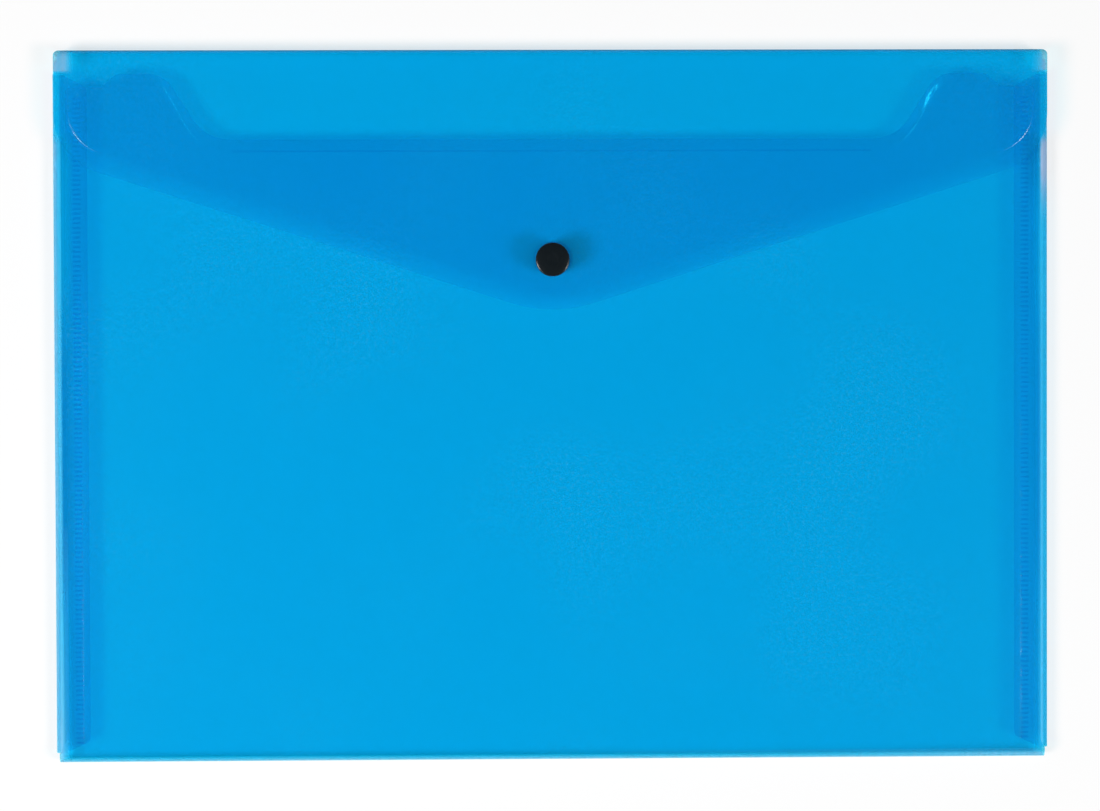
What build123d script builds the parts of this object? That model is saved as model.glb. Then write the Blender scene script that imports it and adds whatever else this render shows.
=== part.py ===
from build123d import *
import os

os.makedirs("parts", exist_ok=True)

# Driving dimensions in millimetres
wallet_width = 335.0
wallet_height = 239.0
film = 0.2
pocket_gap = 5.4
crease_gap = 0.05
corner_radius = 1.8

# Side tabs and their folds
tab_width = 11.7
tab_top_drop = 7.7
tab_top_slant = 4.5
tab_foot_rise = 3.0
tab_foot_slant = 4.0
tab_corner_radius = 2.5
fold_foot_rise = 1.0
fold_top_gap = 0.3

# Front panel, its ears and its finger throat
front_inset = 4.5
ear_drop = 7.8
ear_step_drop = 12.2
ear_step_in = 16.5
ear_step_run = 5.0
ear_step_radius = 3.5
throat_drop = 29.8
ear_width = 16.0
throat_slope_run = 14.2
throat_radius = 14.0
ear_radius = 10.0
front_corner_radius = 2.0

# Weld seams
weld_inset = 8.2
weld_width = 2.6
weld_pitch = 1.6
weld_bar = 0.76
weld_rail = 0.04
weld_proud = 0.12
weld_end_margin = 3.0

# Flap
flap_inset = 1.0
flap_side = 36.2
flap_tip = 89.4
flap_corner_radius = 20.5
flap_tip_radius = 46.0

# Press stud
stud_drop = 70.4
stud_stack = 2.8
cap_radius = 5.85
cap_height = 1.8
cap_edge_height = 0.9
cap_crown_radius = 4.4
cap_dimple_radius = 2.1
cap_dimple_depth = 0.22
socket_radius = 5.2
socket_flange = 0.8
socket_hub_radius = 3.7
socket_web = 0.7
post_radius = 5.2
post_flange = 0.7
nose_radius = 2.3
nose_neck = 0.2
nose_play = 0.3
seat_play = 0.1
base_radius = 5.6
base_thick = 1.0
prong_radius = 1.0
prong_play = 0.05
rivet_flare = 0.6
rivet_depth = 0.35

# Positions that follow from the dimensions
half_w = wallet_width / 2
half_h = wallet_height / 2
side_r = pocket_gap / 2 + film
side_cx = half_w - side_r
bottom_r = (pocket_gap + film) / 2 + film
bottom_cy = -half_h + bottom_r
tab_z = film + pocket_gap
front_z = tab_z + film
front_top_z = front_z + film
flap_z = front_top_z + stud_stack
flap_top_z = flap_z + film
hinge_y = half_h - film / 2
back_top_y = half_h - film - crease_gap
tab_top_y = half_h - tab_top_drop
tab_in = half_w - tab_width
front_half = half_w - front_inset
ear_y = half_h - ear_drop
ear_step_y = half_h - ear_step_drop
throat_y = half_h - throat_drop
stud_y = half_h - stud_drop
flap_half = half_w - flap_inset
stud_axis = Axis((0, stud_y, 0), (0, 0, 1))

# Back panel, with a lug at each top corner beyond the side folds
with BuildPart() as back_panel:
    with BuildSketch(Plane.XY) as back_sk:
        with BuildLine():
            Polyline(
                (-side_cx, bottom_cy),
                (side_cx, bottom_cy),
                (side_cx, tab_top_y + fold_top_gap),
                (half_w, tab_top_y + fold_top_gap),
                (half_w, back_top_y),
                (-half_w, back_top_y),
                (-half_w, tab_top_y + fold_top_gap),
                (-side_cx, tab_top_y + fold_top_gap),
                close=True,
            )
        make_face()
        top_corners = [v for v in back_sk.vertices() if v.Y > back_top_y - 0.01]
        fillet(top_corners, corner_radius)
    extrude(amount=film)
back_panel.part.label = "back_panel"
export_step(back_panel.part, "parts/back_panel.step")

# Bottom fold, a half-round that carries the sheet from the back up to the front
with BuildPart() as bottom_fold:
    with BuildSketch(Plane.YZ.offset(-front_half)):
        with BuildLine():
            ThreePointArc(
                (bottom_cy, 0),
                (bottom_cy - bottom_r, bottom_r),
                (bottom_cy, 2 * bottom_r),
            )
            Line((bottom_cy, 2 * bottom_r), (bottom_cy, 2 * bottom_r - film))
            ThreePointArc(
                (bottom_cy, 2 * bottom_r - film),
                (bottom_cy - bottom_r + film, bottom_r),
                (bottom_cy, film),
            )
            Line((bottom_cy, film), (bottom_cy, 0))
        make_face()
    extrude(amount=2 * front_half)
bottom_fold.part.label = "bottom_fold"
export_step(bottom_fold.part, "parts/bottom_fold.step")

# Front panel with ears, finger throat and a hole for the stud
step_x = half_w - ear_step_in
slope_x = step_x - ear_step_run - ear_width
throat_half_width = slope_x - throat_slope_run
with BuildPart() as front_panel:
    with BuildSketch(Plane.XY.offset(front_z)) as front_sk:
        with BuildLine():
            Polyline(
                (-front_half, bottom_cy),
                (front_half, bottom_cy),
                (front_half, ear_step_y),
                (step_x, ear_step_y),
                (step_x - ear_step_run, ear_y),
                (slope_x, ear_y),
                (throat_half_width, throat_y),
                (-throat_half_width, throat_y),
                (-slope_x, ear_y),
                (-step_x + ear_step_run, ear_y),
                (-step_x, ear_step_y),
                (-front_half, ear_step_y),
                close=True,
            )
        make_face()
        at_throat = [v for v in front_sk.vertices() if abs(v.Y - throat_y) < 0.01]
        fillet(at_throat, throat_radius)
        at_ear = [
            v
            for v in front_sk.vertices()
            if abs(v.Y - ear_y) < 0.01 and abs(abs(v.X) - slope_x) < 0.01
        ]
        fillet(at_ear, ear_radius)
        at_step = [
            v
            for v in front_sk.vertices()
            if min(abs(abs(v.X) - step_x), abs(abs(v.X) - step_x + ear_step_run)) < 0.01
        ]
        fillet(at_step, ear_step_radius)
        at_side = [
            v
            for v in front_sk.vertices()
            if abs(v.Y - ear_step_y) < 0.01 and abs(abs(v.X) - front_half) < 0.01
        ]
        fillet(at_side, front_corner_radius)
        with Locations((0, stud_y)):
            Circle(prong_radius + prong_play, mode=Mode.SUBTRACT)
    extrude(amount=film)
front_panel.part.label = "front_panel"
export_step(front_panel.part, "parts/front_panel.step")

# Side folds, half-rounds from the back panel to the tabs
fold_foot_y = -half_h + fold_foot_rise
right_fold_plane = Plane(origin=(side_cx, tab_top_y, 0), x_dir=(1, 0, 0), z_dir=(0, -1, 0))
with BuildPart() as right_side_fold:
    with BuildSketch(right_fold_plane):
        with BuildLine():
            ThreePointArc((0, 0), (side_r, side_r), (0, 2 * side_r))
            Line((0, 2 * side_r), (0, 2 * side_r - film))
            ThreePointArc((0, 2 * side_r - film), (side_r - film, side_r), (0, film))
            Line((0, film), (0, 0))
        make_face()
    extrude(amount=tab_top_y - fold_foot_y)
right_side_fold.part.label = "right_side_fold"
export_step(right_side_fold.part, "parts/right_side_fold.step")

left_fold_plane = Plane(origin=(-side_cx, tab_top_y, 0), x_dir=(1, 0, 0), z_dir=(0, -1, 0))
with BuildPart() as left_side_fold:
    with BuildSketch(left_fold_plane):
        with BuildLine():
            ThreePointArc((0, 0), (-side_r, side_r), (0, 2 * side_r))
            Line((0, 2 * side_r), (0, 2 * side_r - film))
            ThreePointArc((0, 2 * side_r - film), (-side_r + film, side_r), (0, film))
            Line((0, film), (0, 0))
        make_face()
    extrude(amount=tab_top_y - fold_foot_y)
left_side_fold.part.label = "left_side_fold"
export_step(left_side_fold.part, "parts/left_side_fold.step")

# Tabs, lying against the underside of the front panel
tab_foot_y = -half_h + tab_foot_rise
with BuildPart() as right_tab:
    with BuildSketch(Plane.XY.offset(tab_z)) as right_tab_sk:
        with BuildLine():
            Polyline(
                (side_cx, tab_foot_y),
                (side_cx, tab_top_y),
                (tab_in, tab_top_y - tab_top_slant),
                (tab_in, tab_foot_y + tab_foot_slant),
                close=True,
            )
        make_face()
        inner = [v for v in right_tab_sk.vertices() if v.X < tab_in + 0.01]
        fillet(inner, tab_corner_radius)
    extrude(amount=film)
right_tab.part.label = "right_tab"
export_step(right_tab.part, "parts/right_tab.step")

with BuildPart() as left_tab:
    with BuildSketch(Plane.XY.offset(tab_z)) as left_tab_sk:
        with BuildLine():
            Polyline(
                (-side_cx, tab_foot_y),
                (-side_cx, tab_top_y),
                (-tab_in, tab_top_y - tab_top_slant),
                (-tab_in, tab_foot_y + tab_foot_slant),
                close=True,
            )
        make_face()
        inner = [v for v in left_tab_sk.vertices() if v.X > -tab_in - 0.01]
        fillet(inner, tab_corner_radius)
    extrude(amount=film)
left_tab.part.label = "left_tab"
export_step(left_tab.part, "parts/left_tab.step")

# Weld seams, a ladder of bars pressed along each side of the front panel
weld_x = half_w - weld_inset
weld_low = bottom_cy + weld_end_margin
weld_high = ear_step_y - weld_end_margin
weld_mid = (weld_low + weld_high) / 2
weld_count = int((weld_high - weld_low) / weld_pitch)
weld_length = weld_count * weld_pitch

with BuildPart() as right_weld_seam:
    with BuildSketch(Plane.XY.offset(front_top_z)):
        with Locations((weld_x, weld_mid)):
            Rectangle(weld_width, weld_length)
    extrude(amount=weld_rail)
    with BuildSketch(Plane.XY.offset(front_top_z + weld_rail)):
        with Locations((weld_x, weld_mid)):
            with GridLocations(weld_width, weld_pitch, 1, weld_count):
                Rectangle(weld_width, weld_bar)
    extrude(amount=weld_proud - weld_rail)
right_weld_seam.part.label = "right_weld_seam"
export_step(right_weld_seam.part, "parts/right_weld_seam.step")

with BuildPart() as left_weld_seam:
    with BuildSketch(Plane.XY.offset(front_top_z)):
        with Locations((-weld_x, weld_mid)):
            Rectangle(weld_width, weld_length)
    extrude(amount=weld_rail)
    with BuildSketch(Plane.XY.offset(front_top_z + weld_rail)):
        with Locations((-weld_x, weld_mid)):
            with GridLocations(weld_width, weld_pitch, 1, weld_count):
                Rectangle(weld_width, weld_bar)
    extrude(amount=weld_proud - weld_rail)
left_weld_seam.part.label = "left_weld_seam"
export_step(left_weld_seam.part, "parts/left_weld_seam.step")

# Top fold, the strip between the two creases, round about its lower crease
strip_top_z = flap_z - crease_gap
with BuildPart() as top_fold:
    with BuildSketch(Plane.YZ.offset(-flap_half)):
        with BuildLine():
            Polyline(
                (hinge_y - film / 2, film / 2),
                (hinge_y - film / 2, strip_top_z),
                (hinge_y + film / 2, strip_top_z),
                (hinge_y + film / 2, film / 2),
            )
            ThreePointArc(
                (hinge_y + film / 2, film / 2),
                (hinge_y, 0),
                (hinge_y - film / 2, film / 2),
            )
        make_face()
    extrude(amount=2 * flap_half)
top_fold.part.label = "top_fold"
export_step(top_fold.part, "parts/top_fold.step")

# Flap, a shallow V with round corners and a round tip, round about its crease
with BuildPart() as flap:
    with BuildSketch(Plane.XY.offset(flap_z)) as flap_sk:
        with BuildLine():
            Polyline(
                (-flap_half, hinge_y),
                (flap_half, hinge_y),
                (flap_half, half_h - flap_side),
                (0, half_h - flap_tip),
                (-flap_half, half_h - flap_side),
                close=True,
            )
        make_face()
        corners = [v for v in flap_sk.vertices() if abs(v.Y - half_h + flap_side) < 0.01]
        fillet(corners, flap_corner_radius)
        tip = [v for v in flap_sk.vertices() if abs(v.X) < 0.01]
        fillet(tip, flap_tip_radius)
        with Locations((0, stud_y)):
            Circle(prong_radius + prong_play, mode=Mode.SUBTRACT)
    extrude(amount=film)
    with BuildSketch(Plane.YZ.offset(-flap_half)):
        with BuildLine():
            ThreePointArc(
                (hinge_y, flap_z),
                (hinge_y + film / 2, flap_z + film / 2),
                (hinge_y, flap_top_z),
            )
            Line((hinge_y, flap_top_z), (hinge_y, flap_z))
        make_face()
    extrude(amount=2 * flap_half)
flap.part.label = "flap"
export_step(flap.part, "parts/flap.step")

# Stud socket, the ring under the flap
socket_low_z = front_top_z + post_flange + seat_play
web_low_z = flap_z - socket_web
bore_radius = nose_radius + nose_play
with BuildPart() as stud_socket:
    with BuildSketch(Plane.XZ.offset(-stud_y)):
        with BuildLine():
            Polyline(
                (prong_radius + prong_play, flap_z),
                (socket_radius, flap_z),
                (socket_radius, flap_z - socket_flange),
                (socket_hub_radius, flap_z - socket_flange - 0.3),
                (socket_hub_radius, socket_low_z),
                (bore_radius, socket_low_z),
                (bore_radius, web_low_z),
                (prong_radius + prong_play + rivet_flare, web_low_z),
                (prong_radius + prong_play, web_low_z + rivet_depth),
                close=True,
            )
        make_face()
    revolve(axis=stud_axis)
stud_socket.part.label = "stud_socket"
export_step(stud_socket.part, "parts/stud_socket.step")

# Stud cap, a low dome with a shallow dimple, and its prong riveted over in the socket
with BuildPart() as stud_cap:
    with BuildSketch(Plane.XZ.offset(-stud_y)):
        with BuildLine():
            Polyline(
                (0, web_low_z),
                (prong_radius + rivet_flare, web_low_z),
                (prong_radius, web_low_z + rivet_depth),
                (prong_radius, flap_top_z),
                (cap_radius - 0.35, flap_top_z),
                (cap_radius, flap_top_z + 0.35),
                (cap_radius, flap_top_z + cap_edge_height),
            )
            ThreePointArc(
                (cap_radius, flap_top_z + cap_edge_height),
                (cap_radius - 0.22, flap_top_z + cap_edge_height + 0.4),
                (cap_radius - 0.75, flap_top_z + cap_edge_height + 0.62),
            )
            Polyline(
                (cap_radius - 0.75, flap_top_z + cap_edge_height + 0.62),
                (cap_crown_radius, flap_top_z + cap_height - 0.15),
                (cap_dimple_radius, flap_top_z + cap_height),
            )
            ThreePointArc(
                (cap_dimple_radius, flap_top_z + cap_height),
                (cap_dimple_radius * 0.62, flap_top_z + cap_height - cap_dimple_depth * 0.8),
                (cap_dimple_radius * 0.3, flap_top_z + cap_height - cap_dimple_depth),
            )
            Line(
                (cap_dimple_radius * 0.3, flap_top_z + cap_height - cap_dimple_depth),
                (0, flap_top_z + cap_height - cap_dimple_depth),
            )
            Line((0, flap_top_z + cap_height - cap_dimple_depth), (0, web_low_z))
        make_face()
    revolve(axis=stud_axis)
stud_cap.part.label = "stud_cap"
export_step(stud_cap.part, "parts/stud_cap.step")

# Stud post, the nose on the front panel
nose_top_z = web_low_z - seat_play
post_top_z = front_top_z + post_flange
with BuildPart() as stud_post:
    with BuildSketch(Plane.XZ.offset(-stud_y)):
        with BuildLine():
            Polyline(
                (prong_radius + prong_play, front_top_z),
                (post_radius, front_top_z),
                (post_radius, post_top_z),
                (nose_radius - nose_neck, post_top_z),
                (nose_radius, (post_top_z + nose_top_z) / 2),
                (nose_radius - nose_neck, nose_top_z),
                (prong_radius + prong_play + rivet_flare, nose_top_z),
                (prong_radius + prong_play, nose_top_z - rivet_depth),
                close=True,
            )
        make_face()
    revolve(axis=stud_axis)
stud_post.part.label = "stud_post"
export_step(stud_post.part, "parts/stud_post.step")

# Stud base, the flat head inside the pocket with its prong riveted over in the post
with BuildPart() as stud_base:
    with BuildSketch(Plane.XZ.offset(-stud_y)):
        with BuildLine():
            Polyline(
                (0, front_z - base_thick),
                (base_radius - 0.4, front_z - base_thick),
                (base_radius, front_z - base_thick + 0.4),
                (base_radius, front_z),
                (prong_radius, front_z),
                (prong_radius, nose_top_z - rivet_depth),
                (prong_radius + rivet_flare, nose_top_z),
                (0, nose_top_z),
                close=True,
            )
        make_face()
    revolve(axis=stud_axis)
stud_base.part.label = "stud_base"
export_step(stud_base.part, "parts/stud_base.step")
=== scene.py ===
# %% [markdown]
# A document wallet in see-through blue film, lying on its back with its flap closed.
# The real one is a single die-cut sheet of polypropylene, creased, folded and welded,
# with a black press stud. The solid model gives every place and size, so it is loaded
# first, and its box is kept, as some sizes are read from it.

# %% Load the solid model
import math
import bmesh
import bpy
from mathutils import Matrix, Vector


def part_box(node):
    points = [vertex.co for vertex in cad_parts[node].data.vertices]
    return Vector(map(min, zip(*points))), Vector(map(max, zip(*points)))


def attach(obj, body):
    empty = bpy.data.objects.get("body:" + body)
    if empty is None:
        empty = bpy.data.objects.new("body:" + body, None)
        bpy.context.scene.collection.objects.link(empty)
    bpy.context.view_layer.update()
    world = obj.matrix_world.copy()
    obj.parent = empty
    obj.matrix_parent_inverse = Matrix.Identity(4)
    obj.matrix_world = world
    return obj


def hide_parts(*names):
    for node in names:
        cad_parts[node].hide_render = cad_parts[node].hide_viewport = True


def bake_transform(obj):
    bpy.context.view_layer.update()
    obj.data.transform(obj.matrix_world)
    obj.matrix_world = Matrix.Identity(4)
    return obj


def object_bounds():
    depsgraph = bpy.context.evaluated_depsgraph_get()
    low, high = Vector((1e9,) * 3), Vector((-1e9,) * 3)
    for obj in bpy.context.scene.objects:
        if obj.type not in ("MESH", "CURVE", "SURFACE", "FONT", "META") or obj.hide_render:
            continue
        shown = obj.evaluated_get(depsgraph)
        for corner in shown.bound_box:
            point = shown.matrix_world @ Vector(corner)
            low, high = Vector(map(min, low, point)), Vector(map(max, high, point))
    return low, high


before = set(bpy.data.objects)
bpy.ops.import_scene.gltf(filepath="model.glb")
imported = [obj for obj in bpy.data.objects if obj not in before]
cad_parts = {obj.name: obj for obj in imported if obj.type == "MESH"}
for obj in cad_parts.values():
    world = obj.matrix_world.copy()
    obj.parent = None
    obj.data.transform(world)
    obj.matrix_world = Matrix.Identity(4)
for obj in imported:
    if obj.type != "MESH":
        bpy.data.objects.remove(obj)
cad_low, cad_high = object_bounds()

print("solid model box in mm", [round(1000 * v, 2) for v in (*cad_low, *cad_high)])

# %% [markdown]
# Sizes are in millimetres. Most are read from the solids, so that each film lies where its
# solid does. The sheets are drawn on their outer faces and get their thickness inwards, so
# the outer face is what has to agree. Where two films are welded face to face, the tab is
# drawn a hair lower, because two faces in exactly one plane flicker in a render.

# %% Sizes from the solid model
def corners_of(node):
    """A solid's lowest and highest corner in mm, to a tenth."""
    return [[round(1000 * v, 1) for v in corner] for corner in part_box(node)]


half_w, half_h = [round(1000 * v, 1) for v in cad_high[:2]]
front_half, ear_y, front_top = corners_of("front_panel")[1]
(_, _, flap_under), (flap_half, _, flap_top) = corners_of("flap")
(tab_in, _, _), (side_cx, tab_top, tab_face) = corners_of("right_tab")
(weld_in, weld_start, _), (weld_out, weld_end, _) = corners_of("right_weld_seam")
bottom_cy = corners_of("bottom_fold")[1][1]
stud_y = round(500 * sum(corner.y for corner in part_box("stud_cap")), 1)
film = round(flap_top - flap_under, 1)
print("film", film, "front", front_top, "flap", flap_top, "stud at", stud_y, "mm")

# %% Sizes of the folds
weld_gap = 0.06
tab_z = tab_face - weld_gap
side_r = tab_z / 2
bottom_r = front_top / 2
bend = 2.5
crease_y = half_h - bend
seam_z = 4.45  # where the pocket's sheet and the flap's meet, half way up the strip
tab_foot = bottom_cy + 0.3
foot_half = 166.2  # the bottom fold runs out to here and closes the corners
print("fold radii in mm", round(side_r, 2), bottom_r, bend)

# %% [markdown]
# A sheet is drawn as by hand: one vertex is pulled from corner to corner, the ring is
# closed and filled. Vertices are then picked by their place, so that each step can name
# what it works on.

# %% Helpers to draw and pick
def draw_line(name, points):
    """One vertex pulled through points given in mm. Leaves the piece in edit mode."""
    bpy.ops.object.select_all(action="DESELECT")
    bpy.ops.mesh.primitive_plane_add(size=0.001)
    piece = bpy.context.object
    piece.name = name
    bpy.ops.object.mode_set(mode="EDIT")
    bpy.ops.mesh.select_all(action="SELECT")
    bpy.ops.mesh.merge(type="CENTER")
    here = Vector(points[0])
    bpy.ops.transform.translate(value=here / 1000)
    for point in points[1:]:
        step = (Vector(point) - here) / 1000
        bpy.ops.mesh.extrude_vertices_move(TRANSFORM_OT_translate={"value": step})
        here = Vector(point)
    return piece


def pick(piece, test):
    """Selects the vertices whose place in mm passes the test."""
    bpy.ops.mesh.select_mode(type="VERT")
    bpy.ops.mesh.select_all(action="DESELECT")
    shape = bmesh.from_edit_mesh(piece.data)
    for v in shape.verts:
        v.select = bool(test(v.co * 1000))
    shape.select_flush(True)
    bmesh.update_edit_mesh(piece.data)


def near(places):
    """A test that passes within 0.05 mm of any of these places."""
    spots = [Vector(p) for p in places]
    return lambda co: any((co - s).length < 0.05 for s in spots)


def draw_sheet(name, points):
    """A filled outline from points in mm."""
    piece = draw_line(name, points)
    pick(piece, near((points[0], points[-1])))
    bpy.ops.mesh.edge_face_add()
    bpy.ops.mesh.select_all(action="SELECT")
    bpy.ops.mesh.edge_face_add()
    print(name, "drawn through", len(points), "points")
    return piece


# %% [markdown]
# The pocket is one sheet: the back panel, a half-round fold and a tab at each side, and a
# half-round fold at the bottom that carries on into the front panel. At the top the sheet
# starts up round the lower crease. Drawing it as one surface and thickening it at the end
# leaves no seams at the folds, as on the real sheet.

# %% Back panel
fold_end = tab_top + 0.3
back = [
    (-foot_half, bottom_cy, 0),
    (foot_half, bottom_cy, 0),
    (foot_half, tab_foot, 0),
    (side_cx, tab_foot, 0),
    (side_cx, tab_top, 0),
    (side_cx, fold_end, 0),
    (half_w, fold_end, 0),
    (half_w, crease_y - 1.0, 0),
    (flap_half, crease_y, 0),
]
back += [(-x, y, z) for x, y, z in reversed(back[2:])]
pocket_sheet = draw_sheet("pocket_sheet", back)

# %% [markdown]
# A fold could be a bent strip of its own, but then its seams would show through clear film.
# Here an edge of the panel is picked and swept round the fold's axis by the spin tool. At
# the top, the strip between the two creases goes straight up to where the flap's sheet
# meets it, and the ends of the bend are drawn in, so that the corners are round from above.

# %% Fold helpers
half_turn_steps, quarter_turn_steps = 24, 12


def fold(piece, test, centre, axis, degrees, steps):
    """Sweeps the picked edge round a fold. The spin tool counts its angle left-handed."""
    pick(piece, test)
    bpy.ops.mesh.spin(
        steps=steps,
        angle=-math.radians(degrees),
        center=Vector(centre) / 1000,
        axis=axis,
    )


def round_ends(piece, radius=1.8):
    """Draws in the two ends of the top bend, so that both corners are round from above."""
    for k in range(1, quarter_turn_steps + 1):
        y = crease_y + bend * math.sin(math.radians(90 / quarter_turn_steps * k))
        reach = y - (half_h - radius)
        if reach > 0:
            inward = radius - math.sqrt(max(radius**2 - reach**2, 0))
            for side in (1, -1):
                pick(piece, lambda co: abs(co.y - y) < 0.002 and side * co.x > flap_half - 0.02)
                bpy.ops.transform.translate(value=(-side * inward / 1000, 0, 0))


# %% Folds at the sides, the bottom and the top
for side in (1, -1):
    fold(
        pocket_sheet,
        lambda co: abs(co.x - side * side_cx) < 0.02 and co.y < tab_top + 0.02 and co.z < 0.02,
        (side * side_cx, 0, side_r),
        (0, 1, 0),
        -180 * side,
        half_turn_steps,
    )
fold(
    pocket_sheet,
    lambda co: abs(co.y - bottom_cy) < 0.02 and abs(co.x) < foot_half + 0.02 and co.z < 0.02,
    (0, bottom_cy, bottom_r),
    (1, 0, 0),
    -180,
    half_turn_steps,
)
fold(
    pocket_sheet,
    lambda co: abs(co.y - crease_y) < 0.02 and abs(co.x) < flap_half + 0.02,
    (0, crease_y, bend),
    (1, 0, 0),
    90,
    quarter_turn_steps,
)
bpy.ops.mesh.extrude_edges_move(TRANSFORM_OT_translate={"value": (0, 0, (seam_z - bend) / 1000)})
round_ends(pocket_sheet)
bpy.ops.object.mode_set(mode="OBJECT")
print("folds reach mm", [round(1000 * d, 2) for d in pocket_sheet.dimensions])

# %% [markdown]
# Each side fold ends in a tab that lies under the front panel. It is cut slantwise at both
# ends with rounded corners, so that it slips in. A rounded corner is an arc that touches
# both sides. It starts R * tan(angle / 2) before the corner, where the angle is how far
# the line turns there.

# %% Rounded corners
def rounded(corners, z, segments=10):
    """Points in mm along corners given as x, y, radius. The two ends stay sharp."""
    points = []
    for n, (x, y, radius) in enumerate(corners):
        here = Vector((x, y, z))
        if radius == 0 or n in (0, len(corners) - 1):
            points.append(here)
            continue
        back = (Vector((*corners[n - 1][:2], z)) - here).normalized()
        on = (Vector((*corners[n + 1][:2], z)) - here).normalized()
        half = back.angle(on) / 2
        centre = here + (back + on).normalized() * radius / math.sin(half)
        first = (here + back * radius / math.tan(half) - centre).normalized()
        last = (here + on * radius / math.tan(half) - centre).normalized()
        points += [centre + radius * first.slerp(last, k / segments) for k in range(segments + 1)]
    return points


# %% Tabs, cut slantwise at both ends
slant_top, slant_foot, tab_round = 4.5, 4.0, 2.5
tabs = []
for side in (1, -1):
    outline = [
        (side * side_cx, tab_foot, 0),
        (side * side_cx, tab_top, 0),
        (side * tab_in, tab_top - slant_top, tab_round),
        (side * tab_in, tab_foot + slant_foot, tab_round),
        (side * side_cx, tab_foot, 0),
    ]
    tabs.append(draw_sheet("tab", rounded(outline, tab_z, 6)[:-1]))
    bpy.ops.object.mode_set(mode="OBJECT")

# %% [markdown]
# The front panel is cut with an ear at each side and a wide throat for the fingers. About
# three or four millimetres inside this edge runs a fine pressed line. The border outside
# it stands up a little where it turns down from an ear into the throat, and that slope
# catches a lamp. So the border is a strip of its own, bridged from the line to the edge.
# The line is a narrow bevel along the joint of the two, with its middle raised.

# %% Border and pressed line
def join(piece, *others):
    """Joins the other pieces into the first, and goes to edit mode."""
    bpy.ops.object.mode_set(mode="OBJECT")
    bpy.ops.object.select_all(action="DESELECT")
    for one in (*others, piece):
        one.select_set(True)
    bpy.context.view_layer.objects.active = piece
    bpy.ops.object.join()
    bpy.ops.object.mode_set(mode="EDIT")
    bpy.ops.mesh.select_all(action="SELECT")
    bpy.ops.mesh.remove_doubles(threshold=1e-5)


def bordered_sheet(name, edge, line, rest, cuts=0):
    """A sheet inside the pressed line, and a border from that line out to the cut edge."""
    piece = draw_sheet(name, [*line, *rest])
    bpy.ops.object.mode_set(mode="OBJECT")
    border = draw_line("border", edge)
    join(piece, border)
    pick(piece, near([*line, *edge]))
    bpy.ops.mesh.bridge_edge_loops(number_cuts=cuts, interpolation="LINEAR")
    print(name, "border points", len(edge), len(line))
    return piece


def lift(piece, places, height):
    """Moves the vertices at these places up by a height in mm."""
    pick(piece, near(places))
    bpy.ops.transform.translate(value=(0, 0, height / 1000))


def press_line(piece, line, width, height):
    """Raises a narrow ridge along the line. height gives mm for a place on it."""
    pick(piece, near(line))
    bpy.ops.mesh.bevel(offset=width / 2000, segments=2, affect="EDGES")
    for point in line:
        if height(point) > 0:
            lift(piece, [point], height(point))


# %% Edge and pressed line of the front panel
def on_the_way(first, last, shares):
    """Sharp points on the straight between two corners, at these shares of it."""
    way = Vector(last[:2]) - Vector(first[:2])
    return [(first[0] + t * way.x, first[1] + t * way.y, 0) for t in shares]


def both_halves(half):
    """The corners of a right half and their mirror images, from right to left."""
    return half + [(-x, y, r) for x, y, r in reversed(half)]


step_y, throat_y, straight_x = 107.3, 89.7, 60.0
ear, throat = (130.0, ear_y, 10.0), (115.8, throat_y, 14.0)
edge_half = [
    (front_half, 100.0, 0),
    (front_half, step_y, 2.0),
    (151.0, step_y, 3.5),
    (146.0, ear_y, 3.5),
    ear,
    *on_the_way(ear, throat, (0.28, 0.37, 0.46, 0.55, 0.64)),
    throat,
    (straight_x, throat_y, 0),
]
line_in = 3.4
line_y = throat_y - 4.0
ear, throat = (130.5, ear_y - line_in, 5.0), (117.7, line_y, 17.5)
line_half = [
    (front_half, 98.0, 0),
    (front_half - 3.0, step_y - line_in, 1.0),
    (149.0, step_y - line_in, 2.5),
    (144.6, ear_y - line_in, 2.5),
    ear,
    *on_the_way(ear, throat, (0.18, 0.28, 0.38, 0.48, 0.56)),
    throat,
    (straight_x, line_y, 0),
]
edge = rounded(both_halves(edge_half), front_top)
line = rounded(both_halves(line_half), front_top)
foot = [(-front_half, bottom_cy + 6, front_top), (-foot_half, bottom_cy, front_top)]
foot += [(-x, y, z) for x, y, z in reversed(foot)]
print("points on the edge and the line", len(edge), len(line))

# %% Front panel with ears and finger throat
front_sheet = bordered_sheet("front_sheet", edge, line, foot, cuts=2)
line_wide, line_high = 0.5, 0.06
press_line(front_sheet, line[1:-1], line_wide, lambda p: line_high)

# %% Raised border on the two slopes
slope_in, slope_out = 106, 136
stands_up = 0.3
right_more, right_at, right_spread = 0.5, 0.25, 0.16
for cut, pressed in zip(edge, line):
    if slope_in < abs(cut.x) < slope_out:
        down = min(max((ear_y - cut.y) / (ear_y - throat_y), 0), 1)
        height = stands_up * math.sin(math.pi * down)
        if cut.x > 0:
            height += right_more * math.exp(-(((down - right_at) / right_spread) ** 2))
        for share in (1 / 3, 2 / 3, 1):
            rise = 1.5 * share - 0.5 * share**2
            lift(front_sheet, [pressed.lerp(cut, share)], height * rise)
print("front panel points", len(bmesh.from_edit_mesh(front_sheet.data).verts))

# %% [markdown]
# Now the sheet is joined where the folds meet the tabs and the front, and thickened. The
# normals are made to agree first, because the thickness goes inwards from them. Each point
# also keeps its place on the closed wallet, which the film's patterns read later.

# %% Thickness and kept places
def keep_places(piece):
    """Stores where each point lies on the closed wallet, so that a pattern moves with the film."""
    spots = piece.data.attributes.new("closed_place", "FLOAT_VECTOR", "POINT")
    spots.data.foreach_set("vector", [c for v in piece.data.vertices for c in v.co])


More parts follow.
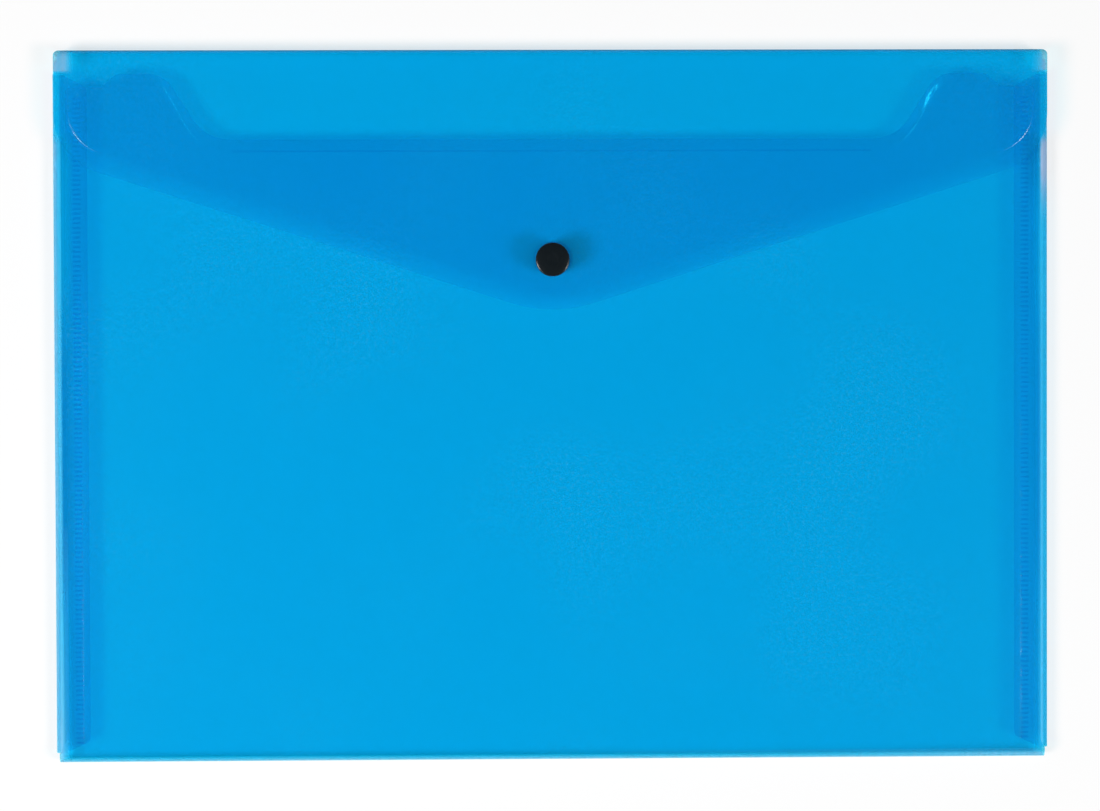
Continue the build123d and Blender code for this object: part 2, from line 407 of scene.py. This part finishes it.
def finish_sheet(piece, outward_at, outward):
    """Turns all normals outwards, then gives the sheet its thickness inwards."""
    bpy.ops.mesh.select_all(action="SELECT")
    bpy.ops.mesh.remove_doubles(threshold=1e-5)
    bpy.ops.mesh.normals_make_consistent(inside=False)
    shape = bmesh.from_edit_mesh(piece.data)
    target = Vector(outward_at) / 1000
    face = min(shape.faces, key=lambda f: (f.calc_center_median() - target).length)
    if face.normal.dot(Vector(outward)) < 0:
        bpy.ops.mesh.flip_normals()
    bpy.ops.object.mode_set(mode="OBJECT")
    wall = piece.modifiers.new("thickness", "SOLIDIFY")
    wall.thickness = film / 1000
    wall.offset = -1
    wall.use_even_offset = True
    bpy.ops.object.modifier_apply(modifier="thickness")
    bpy.ops.object.shade_smooth_by_angle(angle=math.radians(12))
    even = piece.modifiers.new("even", "WEIGHTED_NORMAL")
    even.keep_sharp = True
    even.weight = 100
    bpy.ops.object.modifier_apply(modifier="even")
    keep_places(piece)
    print(piece.name, "faces", len(piece.data.polygons))


# %% Join the pocket at its folds
join(pocket_sheet, front_sheet, *tabs)
finish_sheet(pocket_sheet, (0, 0, 0), (0, 0, -1))
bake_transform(pocket_sheet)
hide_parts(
    "back_panel",
    "bottom_fold",
    "front_panel",
    "left_side_fold",
    "right_side_fold",
    "left_tab",
    "right_tab",
)

# %% [markdown]
# The flap is a second sheet, because it turns about the upper crease. Its outline is a
# shallow V with wide round corners and a round tip. It comes round the upper crease and
# down to meet the pocket's sheet half way up the strip between the two creases. A pressed
# line follows its edge here too, higher at the sides than along the V.

# %% Outline of the flap
side_drop, tip_drop = 36.2, 89.4
flap_side, flap_tip = half_h - side_drop, half_h - tip_drop
slope = (flap_side - flap_tip) / flap_half
ridge_marks = (140.0, 120.0, 75.0, 50.0, 25.0)


def vee(across, tip_y, corner, tip_radius):
    """The flap's corners, for its edge or for the pressed line inside it."""
    down = [(across, crease_y, 0), (across, crease_y - 5, 0)]
    down += [(across, tip_y + slope * across, corner)]
    down += [(x, tip_y + slope * x, 0) for x in ridge_marks]
    return down + [(0, tip_y, tip_radius)] + [(-x, y, r) for x, y, r in reversed(down)]


corner_r, tip_r = 20.5, 46.0
edge = rounded(vee(flap_half, flap_tip, corner_r, tip_r), flap_top, 16)
flap_line_half, flap_line_in = 161.6, 6.9
corner_r, tip_r = 14.7, 39.0
line = rounded(vee(flap_line_half, flap_tip + flap_line_in, corner_r, tip_r), flap_top, 16)
print("points on the flap's edge and line", len(edge), len(line))

# %% Flap round the upper crease
flap_sheet = bordered_sheet("flap_sheet", edge, line, [(0, crease_y, flap_top)])
fold(
    flap_sheet,
    lambda co: abs(co.y - crease_y) < 0.02,
    (0, crease_y, flap_top - bend),
    (1, 0, 0),
    -90,
    quarter_turn_steps,
)
seam_gap = 0.02  # keeps the two sheets' ends from lying in one plane
reach_down = seam_z + seam_gap - flap_top + bend
bpy.ops.mesh.extrude_edges_move(TRANSFORM_OT_translate={"value": (0, 0, reach_down / 1000)})
round_ends(flap_sheet)


def share_between(value, low, high):
    """How far a value is on its way from low to high, from 0 to 1."""
    return min(max((value - low) / (high - low), 0), 1)


flap_line_wide, ridge_step = 0.45, 0.025
right_ridge, right_ridge_from = 0.085, 99


def flap_ridge(p):
    """Height in mm: the most at the top of the right side, low along the V, none at its tip."""
    if p.x > 0 and p.y > right_ridge_from:
        return right_ridge
    steps = share_between(abs(p.x), 25, 75) + share_between(abs(p.x), 125, 150)
    return ridge_step * steps


press_line(flap_sheet, line[1:-1], flap_line_wide, flap_ridge)
finish_sheet(flap_sheet, (0, 80, flap_top), (0, 0, 1))
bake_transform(flap_sheet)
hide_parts("flap", "top_fold")

# %% [markdown]
# The weld that joins the front panel to each tab is a ladder of short pressed bars. One
# bar is modelled with its upper edges rounded over, and an array repeats it up the side.
# That keeps every bar alike, as the welding tool leaves them.

# %% Weld ladders
bar_count, pitch = 136, 1.6
bar_long, bar_wide, bar_high, bar_round = 2.6, 0.76, 0.1, 0.06
bar_lift = 0.06
bar_z = front_top + bar_lift
weld_x = (weld_in + weld_out) / 2
weld_low = (weld_start + weld_end) / 2 - (bar_count - 1) / 2 * pitch
for side, node in ((1, "right_weld_seam"), (-1, "left_weld_seam")):
    bpy.ops.object.select_all(action="DESELECT")
    bpy.ops.mesh.primitive_cube_add(size=0.001)
    ladder = bpy.context.object
    ladder.name = node.replace("seam", "bars")
    bpy.ops.object.mode_set(mode="EDIT")
    bpy.ops.mesh.select_all(action="SELECT")
    bpy.ops.transform.resize(value=(bar_long, bar_wide, bar_high))
    bpy.ops.transform.translate(value=(side * weld_x / 1000, weld_low / 1000, bar_z / 1000))
    pick(ladder, lambda co: co.z > bar_z)
    bpy.ops.mesh.bevel(offset=bar_round / 1000, segments=2, affect="EDGES")
    bpy.ops.object.mode_set(mode="OBJECT")
    rungs = ladder.modifiers.new("rungs", "ARRAY")
    rungs.count = bar_count
    rungs.use_relative_offset = False
    rungs.use_constant_offset = True
    rungs.constant_offset_displace = (0, pitch / 1000, 0)
    bpy.ops.object.modifier_apply(modifier="rungs")
    keep_places(ladder)
    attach(ladder, "pocket")
    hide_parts(node)
    print(ladder.name, "faces", len(ladder.data.polygons))

# %% [markdown]
# The press stud is four small mouldings, all turned shapes. Each is drawn as half a
# section, its corners are rounded, and the section is spun about the stud's axis. The cap
# and the socket are riveted together through the flap, the base and the post through the
# front panel, and the socket's mouth snaps over the post's nose.

# %% Turned pieces
def turn_piece(name, section, rounds, body):
    """Spins a section given as radius and height in mm. rounds gives a corner and its reach in mm."""
    piece = draw_line(name, [(r, stud_y, z) for r, z in section])
    for corner, reach in rounds:
        r, z = section[corner]
        pick(piece, near([(r, stud_y, z)]))
        bpy.ops.mesh.bevel(offset=reach / 1000, segments=5, affect="VERTICES", profile=0.5)
    bpy.ops.mesh.select_all(action="SELECT")
    bpy.ops.mesh.spin(
        steps=64, angle=2 * math.pi, center=(0, stud_y / 1000, 0), axis=(0, 0, 1)
    )
    bpy.ops.mesh.select_all(action="SELECT")
    bpy.ops.mesh.remove_doubles(threshold=2e-6)
    bpy.ops.mesh.normals_make_consistent(inside=False)
    bpy.ops.object.mode_set(mode="OBJECT")
    bpy.ops.object.shade_smooth_by_angle(angle=math.radians(35))
    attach(piece, body)
    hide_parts(name.replace("press_", ""))
    print(name, "faces", len(piece.data.polygons))
    return piece


# %% Press stud
prong_r, head_r, hole_r, sink_r = 1.0, 1.6, 1.05, 1.65
cap_r, flange_r, base_r = 5.7, 5.2, 5.6
mouth_r, collar_r, neck_r, nose_r = 2.6, 3.7, 2.1, 2.3
web_z, web_sink_z, mouth_z = 8.1, 8.45, 6.8
nose_z, nose_sink_z, post_z = 8.0, 7.65, 6.7
base_z, front_under = 4.8, front_top - film
cap_z = round(1000 * cad_high[2], 1)
stud_pieces = [
    turn_piece(
        "press_stud_cap",
        [(0, web_z), (head_r, web_z), (prong_r, web_sink_z), (prong_r, flap_top),
         (cap_r, flap_top), (cap_r, 10.42), (4.4, 10.65), (2.2, cap_z), (1.4, 10.7), (0, 10.68)],
        [(4, 0.3), (5, 0.4), (6, 0.7), (7, 0.45), (8, 0.4)],
        "flap",
    ),
    turn_piece(
        "press_stud_socket",
        [(hole_r, flap_under), (flange_r, flap_under), (flange_r, 8.0), (collar_r, 7.7),
         (collar_r, mouth_z), (mouth_r, mouth_z), (mouth_r, web_z), (sink_r, web_z),
         (hole_r, web_sink_z), (hole_r, flap_under)],
        [(1, 0.2), (2, 0.25), (3, 0.25), (4, 0.25), (5, 0.2)],
        "flap",
    ),
    turn_piece(
        "press_stud_post",
        [(hole_r, front_top), (flange_r, front_top), (flange_r, post_z), (neck_r, post_z),
         (nose_r, 7.35), (neck_r, nose_z), (sink_r, nose_z), (hole_r, nose_sink_z),
         (hole_r, front_top)],
        [(1, 0.15), (2, 0.25), (3, 0.15), (4, 0.2), (5, 0.15)],
        "pocket",
    ),
    turn_piece(
        "press_stud_base",
        [(0, base_z), (base_r, base_z), (base_r, front_under), (prong_r, front_under),
         (prong_r, nose_sink_z), (head_r, nose_z), (0, nose_z)],
        [(1, 0.45), (2, 0.2)],
        "pocket",
    ),
]

# %% [markdown]
# Colours are written as sRGB hex values, as a colour picker gives them, and one function
# turns them to the linear values that shaders use. Another small function adds a node.

# %% Colour and node helpers
def linear(code):
    """An sRGB hex colour as linear red, green, blue and alpha."""
    parts = [int(code[i : i + 2], 16) / 255 for i in (1, 3, 5)]
    return [p / 12.92 if p <= 0.04045 else ((p + 0.055) / 1.055) ** 2.4 for p in parts] + [1.0]


def add(tree, kind, settings, links):
    """Adds a node, sets its properties and sockets, and links its inputs."""
    made = tree.nodes.new(kind)
    for key, value in settings.items():
        if isinstance(key, str) and hasattr(made, key):
            setattr(made, key, value)
        else:
            made.inputs[key].default_value = value
    for key, source in links.items():
        tree.links.new(source, made.inputs[key])
    return made


def new_finish(name):
    """An empty material with its output node."""
    finish = bpy.data.materials.new(name)
    finish.use_nodes = True
    finish.node_tree.nodes.clear()
    print("finish", name)
    return finish, finish.node_tree, finish.node_tree.nodes.new("ShaderNodeOutputMaterial")


# %% [markdown]
# Where the film is bent round a fold, the lamps' shine on it is painted in as a pale colour,
# a painted highlight. How much depends on the place, so each bend is written as one or more
# ramps along x or y, from where it starts to where it is full. The ramps of one bend are
# multiplied, and where bends meet, the larger counts. Both are laid out on the closed wallet,
# by the attribute kept above, so they stay on the film when the flap turns.

# %% Where the highlights are painted on the bends
def along_bends(tree, ways, bends):
    """The largest of the bends at a place. A bend is its ramps, and the most that it gives.
    A ramp is the way it runs, then where it is none and where it is full, in mm."""
    largest = None
    for ramps, most in bends:
        amount = None
        for way, none, full in ramps:
            span = {"From Min": none / 1000, "From Max": full / 1000}
            span["To Max"] = 1.0 if amount else most
            ramp = add(tree, "ShaderNodeMapRange", span, {"Value": ways[way]}).outputs["Result"]
            if amount:
                both = {0: amount, 1: ramp}
                ramp = add(tree, "ShaderNodeMath", {"operation": "MULTIPLY"}, both).outputs["Value"]
            amount = ramp
        if largest:
            both = {0: largest, 1: amount}
            amount = add(tree, "ShaderNodeMath", {"operation": "MAXIMUM"}, both).outputs["Value"]
        largest = amount
    return largest


# %% [markdown]
# The painted highlights are finely streaked, here up and down the sheet.
# Handling also leaves faint flecks in patches as wide as a palm. Real flecks are about a
# tenth of a millimetre, too fine to show from a metre away, so they are drawn at one
# millimetre.

# %% Painted highlights on the bends, and flecks from handling
streak_wide, streak_long = 1.5, 40
patch_size, fleck_size = 70, 1.0


def painted_highlights_and_flecks(tree, place, painted_highlight_mask):
    """How pale the film is at a place: painted highlights along its bends, and flecks from handling.
    """
    streaks = add(
        tree,
        "ShaderNodeMapping",
        {"Scale": (1000 / streak_wide, 1000 / streak_long, 0)},
        {"Vector": place},
    )
    uneven = add(
        tree,
        "ShaderNodeTexNoise",
        {"Scale": 1.0, "Detail": 2.0},
        {"Vector": streaks.outputs["Vector"]},
    )
    patchy = add(
        tree,
        "ShaderNodeMapRange",
        {"From Min": 0.3, "From Max": 0.7, "To Min": 0.88, "To Max": 1.06},
        {"Value": uneven.outputs["Fac"]},
    )
    streaked = add(
        tree,
        "ShaderNodeMath",
        {"operation": "MULTIPLY"},
        {0: painted_highlight_mask, 1: patchy.outputs["Result"]},
    )
    # The painted highlight along the bends, streaked.
    fold_highlight = add(
        tree,
        "ShaderNodeMath",
        {"operation": "POWER", 1: 1.6},
        {0: streaked.outputs["Value"]},
    )
    rubbed = add(
        tree,
        "ShaderNodeTexNoise",
        {"Scale": 1000 / patch_size, "Detail": 1.0},
        {"Vector": place},
    )
    patch = add(
        tree,
        "ShaderNodeMapRange",
        {"From Min": 0.42, "From Max": 0.68, "To Max": 0.14},
        {"Value": rubbed.outputs["Fac"]},
    )
    specks = add(
        tree,
        "ShaderNodeTexNoise",
        {"Scale": 1000 / fleck_size, "Detail": 2.0},
        {"Vector": place},
    )
    flecks = add(
        tree,
        "ShaderNodeMapRange",
        {"From Min": 0.5, "From Max": 0.75},
        {"Value": specks.outputs["Fac"]},
    )
    highlight_and_flecks = add(
        tree,
        "ShaderNodeMath",
        {"operation": "MULTIPLY_ADD"},
        {0: patch.outputs["Result"], 1: flecks.outputs["Result"], 2: fold_highlight.outputs["Value"]},
    )
    return highlight_and_flecks.outputs["Value"]


# %% [markdown]
# The skin of the film is smooth from the rolls that it was cast on, so it has a weak, fairly
# sharp gloss, and where it is stretched the gloss goes broad and soft. A slight unevenness
# breaks up its highlights. On the real film it is a few tenths of a millimetre wide, too
# fine to show, so it is drawn at 1.2 mm.

# %% Skin of the film
grain_size = 1.2


def film_skin(tree, place, painted_highlight_mask, lost):
    """The gloss layer, how much of it shows, and the relief. lost is the share that bends take."""
    worn = add(tree, "ShaderNodeMath", {"operation": "POWER", 1: 0.2}, {0: painted_highlight_mask})
    dull = add(
        tree,
        "ShaderNodeMath",
        {"operation": "MULTIPLY_ADD", 1: 0.3, 2: 0.16},
        {0: worn.outputs["Value"]},
    )
    grain = add(
        tree,
        "ShaderNodeTexNoise",
        {"Scale": 1000 / grain_size, "Detail": 1.0},
        {"Vector": place},
    )
    relief = add(
        tree,
        "ShaderNodeBump",
        {"Strength": 0.06, "Distance": 0.0001},
        {"Height": grain.outputs["Fac"]},
    ).outputs["Normal"]
    mirror = add(tree, "ShaderNodeFresnel", {"IOR": 1.49}, {"Normal": relief})
    sheen = add(
        tree,
        "ShaderNodeMapRange",
        {"From Min": 0.038, "To Min": 0.038, "To Max": 0.3},
        {"Value": mirror.outputs["Fac"]},
    )
    matt = add(
        tree,
        "ShaderNodeMath",
        {"operation": "MULTIPLY_ADD", 1: -lost, 2: 1.0},
        {0: worn.outputs["Value"]},
    )
    gloss = add(
        tree,
        "ShaderNodeMath",
        {"operation": "MULTIPLY"},
        {0: sheen.outputs["Result"], 1: matt.outputs["Value"]},
    )
    skin = add(
        tree,
        "ShaderNodeBsdfAnisotropic",
        {"Color": linear("#FFFFFF")},
        {"Roughness": dull.outputs["Value"], "Normal": relief},
    )
    return skin.outputs["BSDF"], gloss.outputs["Value"], relief


# %% [markdown]
# Polypropylene film is tinted through and a little milky. Light that goes straight through
# takes the tint, once for each layer, which is why the flap over the pocket looks deeper.
# A small share is scattered back by the haze and shows as the blue of the film itself. The
# haze is cloudy, in clouds some 60 mm wide. A layer here has two faces, so all of this
# happens only where a ray enters: the face it leaves by is clear.

# %% Polypropylene film
cloud_size = 60


def film_finish(name, tint, body, haze, pale, soft=(), white="#B4CAE6", lost=0.95):
    """pale lists the bends where a pale highlight is painted in, and soft those that only make the
    film hazier.
    white is the colour of that painted highlight, and lost the share of its gloss that goes."""
    finish, tree, out = new_finish(name)
    place = add(tree, "ShaderNodeAttribute", {"attribute_name": "closed_place"}, {}).outputs["Vector"]
    spot = add(tree, "ShaderNodeSeparateXYZ", {}, {"Vector": place})
    ways = {"x": spot.outputs["X"], "y": spot.outputs["Y"]}
    # Where the pale highlights are painted, from the bends.
    painted_highlight_mask = along_bends(tree, ways, pale)
    highlight_and_flecks = painted_highlights_and_flecks(tree, place, painted_highlight_mask)
    skin, gloss, relief = film_skin(tree, place, painted_highlight_mask, lost)
    cloud = add(
        tree,
        "ShaderNodeTexNoise",
        {"Scale": 1000 / cloud_size, "Detail": 2.0},
        {"Vector": place},
    )
    share = add(
        tree,
        "ShaderNodeMapRange",
        {"From Min": 0.3, "From Max": 0.7, "To Min": haze * 0.9, "To Max": haze * 1.1},
        {"Value": cloud.outputs["Fac"]},
    ).outputs["Result"]
    if soft:
        both = {0: share, 1: along_bends(tree, ways, soft)}
        share = add(tree, "ShaderNodeMath", {"operation": "ADD"}, both).outputs["Value"]
    # Painted highlights and flecks: where they are strong, more of the film turns milky and its
    # colour goes towards white.
    haze_and_highlight = add(
        tree,
        "ShaderNodeMath",
        {"operation": "MULTIPLY_ADD", 1: 0.48},
        {0: highlight_and_flecks, 2: share},
    )
    colour = add(
        tree,
        "ShaderNodeMix",
        {"data_type": "RGBA", 6: linear(body), 7: linear(white)},
        {0: highlight_and_flecks},
    )
    clear = add(tree, "ShaderNodeBsdfTransparent", {"Color": linear(tint)}, {})
    milk = add(
        tree,
        "ShaderNodeBsdfPrincipled",
        {"Roughness": 0.5, "Specular IOR Level": 0.0},
        {"Base Color": colour.outputs[2], "Normal": relief},
    )
    sheet = add(
        tree,
        "ShaderNodeMixShader",
        {},
        {0: haze_and_highlight.outputs["Value"], 1: clear.outputs["BSDF"], 2: milk.outputs["BSDF"]},
    )
    glossy = add(tree, "ShaderNodeMixShader", {}, {0: gloss, 1: sheet.outputs["Shader"], 2: skin})
    leaving = add(tree, "ShaderNodeBsdfTransparent", {"Color": linear("#FFFFFF")}, {})
    side = add(tree, "ShaderNodeNewGeometry", {}, {})
    whole = add(
        tree,
        "ShaderNodeMixShader",
        {},
        {0: side.outputs["Backfacing"], 1: glossy.outputs["Shader"], 2: leaving.outputs["BSDF"]},
    )
    tree.links.new(whole.outputs["Shader"], out.inputs["Surface"])
    return finish


# %% [markdown]
# The painted highlights of this wallet: the side folds get a pale painted highlight below the
# flap, the left one more and widest at its lower end, the right one a bright painted reflection
# of the right lamp just under the flap. The bottom fold gets a painted highlight along its whole
# edge, wider towards the right, and the top bend along its crown. The flap has painted
# reflections at its two upper corners. Inside the side folds, near their ends, the film only
# looks hazier.

# %% Painted highlights on the bends
under_flap = ("y", 94.0, 88.0)
upper_end, lower_end = ("y", 10.0, 45.0), ("y", -45.0, -75.0)
left_crown, right_crown = ("x", -165.8, -164.6), ("x", 165.8, 164.6)
flap_corner = ("y", 111.5, 112.6)
top_bend = ([("y", 118.4, 119.4)], 0.8)
folds = [
    ([("x", -164.4, -166.6), under_flap], 0.8),
    ([("x", -162.9, -165.5), ("y", -40.0, -110.0)], 0.76),
    ([("x", 163.9, 167.0), under_flap], 0.33),
    # A bright painted reflection of the right lamp on the right fold, just under the flap.
    ([("x", 164.3, 165.2), ("y", 55.0, 80.0), ("y", 93.0, 88.0)], 1.2),
    ([("y", -117.6, -119.1)], 0.82),
    ([("y", -116.5, -118.3), ("x", 20.0, 150.0)], 0.75),
    top_bend,
]
soft_sides = [
    ([("x", -160.5, -164.8), left_crown, upper_end, under_flap], 0.22),
    ([("x", -161.5, -164.8), left_crown, lower_end], 0.2),
    ([("x", 162.0, 164.6), right_crown, upper_end, under_flap], 0.18),
    ([("x", 162.0, 164.6), right_crown, lower_end], 0.15),
]
flap_folds = [
    # Painted reflections at the flap's two upper corners.
    ([("x", -160.0, -162.4), flap_corner], 0.9),
    ([("x", 161.4, 165.2), flap_corner], 0.9),
    top_bend,
]
print("bends of the pocket", len(folds), "of the flap", len(flap_folds))

# %% [markdown]
# All film is one material, but a weld or a pressed line changes it. The tab is welded to the
# front, so its haze hardly shows, and the bars are pressed thin and pass more red. Along the
# throat's pressed line a slightly darker tint is painted in: a painted shade line.

# %% Finishes of the film
milk_blue = "#00D5FA"
film_pocket = film_finish(
    "polypropylene_film_pocket", "#61E6FA", milk_blue, 0.13, folds, soft_sides
)
film_tab = film_finish(
    "polypropylene_film_welded_double", "#60E5FA", milk_blue, 0.03, folds, soft_sides
)
# The flap's white, #9AADC0, is the colour of its painted corner reflections.
film_flap = film_finish(
    "polypropylene_film_flap", "#61E8FB", milk_blue, 0.13, flap_folds, white="#9AADC0", lost=0.8
)
# A slightly darker tint along the throat's pressed line: a painted shade line.
film_line_shade = film_finish("polypropylene_film_painted_line_shade", "#5AD3F3", milk_blue, 0.13, folds)
film_pressed = film_finish("polypropylene_weld_bars", "#B4EEFB", "#0090E0", 0.04, folds)
for piece, finishes in (
    (pocket_sheet, (film_pocket, film_tab, film_line_shade)),
    (flap_sheet, (film_flap,)),
    (bpy.data.objects["left_weld_bars"], (film_pressed,)),
    (bpy.data.objects["right_weld_bars"], (film_pressed,)),
):
    piece.data.materials.clear()
    for finish in finishes:
        piece.data.materials.append(finish)

# %% Faces of the tabs and of the painted shade line
tab_faces, line_shade_faces = 1, 2
straight_half = 104
for face in pocket_sheet.data.polygons:
    place = face.center * 1000
    on_tab = tab_z - film - 0.05 < place.z < tab_z + 0.01
    if on_tab and tab_in - 0.1 < abs(place.x) < side_cx:
        face.material_index = tab_faces
    elif place.z > tab_z and abs(place.x) < straight_half and abs(place.y - line_y) < line_wide / 2:
        face.material_index = line_shade_faces
for number, finish in enumerate(pocket_sheet.data.materials):
    print(finish.name, "faces", sum(f.material_index == number for f in pocket_sheet.data.polygons))

# %% [markdown]
# The stud is moulded acetal, a hard slippery plastic. Black acetal has a satin gloss with
# a very fine unevenness from the mould, which softens its highlights. On the real stud that
# is under a tenth of a millimetre, so it is drawn at half a millimetre, to show.

# %% Black acetal
mould_size = 0.5
acetal, tree, out = new_finish("acetal_black_moulded")
place = add(tree, "ShaderNodeTexCoord", {}, {})
mould = add(
    tree,
    "ShaderNodeTexNoise",
    {"Scale": 1000 / mould_size, "Detail": 2.0},
    {"Vector": place.outputs["Object"]},
).outputs["Fac"]
tone = add(tree, "ShaderNodeValToRGB", {}, {"Fac": mould})
tone.color_ramp.elements[0].color = linear("#0F1519")
tone.color_ramp.elements[1].color = linear("#151C20")
dull = add(tree, "ShaderNodeMapRange", {"To Min": 0.17, "To Max": 0.25}, {"Value": mould})
uneven = add(tree, "ShaderNodeBump", {"Strength": 0.08, "Distance": 0.00005}, {"Height": mould})
shade = add(
    tree,
    "ShaderNodeBsdfPrincipled",
    {"IOR": 1.48},
    {
        "Base Color": tone.outputs["Color"],
        "Roughness": dull.outputs["Result"],
        "Normal": uneven.outputs["Normal"],
    },
)
tree.links.new(shade.outputs["BSDF"], out.inputs["Surface"])
for piece in stud_pieces:
    piece.data.materials.clear()
    piece.data.materials.append(acetal)

# %% [markdown]
# The floor is plain white and takes the wallet's shadow. A bare white floor would come out
# grey under these lamps, so rays that look at it, straight or in a reflection, see it partly
# as a plain white. Rays that have gone through film see only its lit paper.

# %% Floor
bpy.ops.object.select_all(action="DESELECT")
bpy.ops.mesh.primitive_plane_add(size=12, location=(0, 0, -0.0003))
floor = bpy.context.object
floor.name = "floor"


def looking_rays(tree):
    """The light path, and a value that is 1 for reflected and refracted rays."""
    ray = add(tree, "ShaderNodeLightPath", {}, {})
    kinds = {0: ray.outputs["Is Glossy Ray"], 1: ray.outputs["Is Transmission Ray"]}
    return ray, add(tree, "ShaderNodeMath", {"operation": "MAXIMUM"}, kinds).outputs["Value"]


paper, tree, out = new_finish("paper_white_floor")
ray, shiny = looking_rays(tree)
bare = add(
    tree,
    "ShaderNodeMath",
    {"operation": "LESS_THAN", 1: 0.5},
    {0: ray.outputs["Transparent Depth"]},
)
looking = add(
    tree,
    "ShaderNodeMath",
    {"operation": "MAXIMUM"},
    {0: ray.outputs["Is Camera Ray"], 1: shiny},
)
seen = add(
    tree,
    "ShaderNodeMath",
    {"operation": "MULTIPLY"},
    {0: bare.outputs["Value"], 1: looking.outputs["Value"]},
)
share = add(tree, "ShaderNodeMath", {"operation": "MULTIPLY", 1: 0.7}, {0: seen.outputs["Value"]})
ground = add(tree, "ShaderNodeBsdfDiffuse", {"Color": linear("#F5F5F5")}, {})
white = add(tree, "ShaderNodeEmission", {"Color": linear("#FFFFFF")}, {})
both = add(
    tree,
    "ShaderNodeMixShader",
    {},
    {0: share.outputs["Value"], 1: ground.outputs["BSDF"], 2: white.outputs["Emission"]},
)
tree.links.new(both.outputs["Shader"], out.inputs["Surface"])
floor.data.materials.append(paper)

# %% [markdown]
# Two soft lamps stand at the left and the right, about 48 degrees up and a little nearer to
# the bottom edge, as the two soft shadows of the stud tell. The world is white to the camera
# and, in a band above the horizon, in reflections. To all other light it is nearly dark.

# %% Lamps
for name, across, power, away in (("left_lamp", -1, 31, 1.9), ("right_lamp", 1, 27, 2.2)):
    aim = Vector((0.93 * across, -0.37, 1.11)).normalized()
    bpy.ops.object.light_add(type="AREA", location=aim * away)
    lamp = bpy.context.object
    lamp.name = name
    lamp.data.shape = "DISK"
    lamp.data.size = 0.7
    lamp.data.energy = power
    lamp.rotation_euler = aim.to_track_quat("Z", "Y").to_euler()
    print(name, [round(v, 2) for v in lamp.location], power, "W")

# %% World
world = bpy.data.worlds.new("studio")
bpy.context.scene.world = world
world.use_nodes = True
tree = world.node_tree
tree.nodes.clear()
ray, shiny = looking_rays(tree)
way = add(tree, "ShaderNodeTexCoord", {}, {})
height = add(tree, "ShaderNodeSeparateXYZ", {}, {"Vector": way.outputs["Generated"]})
band = add(
    tree,
    "ShaderNodeMapRange",
    {"From Min": 0.35, "From Max": 0.1},
    {"Value": height.outputs["Z"]},
)
wall = add(
    tree,
    "ShaderNodeMath",
    {"operation": "MULTIPLY"},
    {0: shiny, 1: band.outputs["Result"]},
)
white = add(
    tree,
    "ShaderNodeMath",
    {"operation": "MAXIMUM"},
    {0: ray.outputs["Is Camera Ray"], 1: wall.outputs["Value"]},
)
level = add(
    tree,
    "ShaderNodeMapRange",
    {"To Min": 0.01, "To Max": 1.0},
    {"Value": white.outputs["Value"]},
)
sky = add(tree, "ShaderNodeBackground", {}, {"Strength": level.outputs["Result"]})
add(tree, "ShaderNodeOutputWorld", {}, {"Surface": sky.outputs["Background"]})
print("world nodes", len(tree.nodes))

# %% [markdown]
# The camera looks straight down, about a metre up, with the place and the slight tilt that
# put the wallet's four corners where the picture has them. See-through film needs more
# transparent bounces than usual, as a ray meets ten faces where the flap lies over a weld.

# %% Camera and render limits
camera_place = (-0.0247, 0.0212, 1.0337)
camera_tilt = (-1.173, -1.324, -0.219)
bpy.ops.object.camera_add(location=camera_place)
camera = bpy.context.object
turn = Vector([math.radians(degrees) for degrees in camera_tilt])
camera.rotation_euler = Matrix.Rotation(turn.length, 3, turn.normalized()).to_euler()
camera.data.sensor_width = 36
camera.data.lens = 100
scene = bpy.context.scene
scene.camera = camera
scene.view_settings.view_transform = "Standard"
scene.cycles.transparent_max_bounces = 32
print("camera at", [round(v, 3) for v in camera.location])
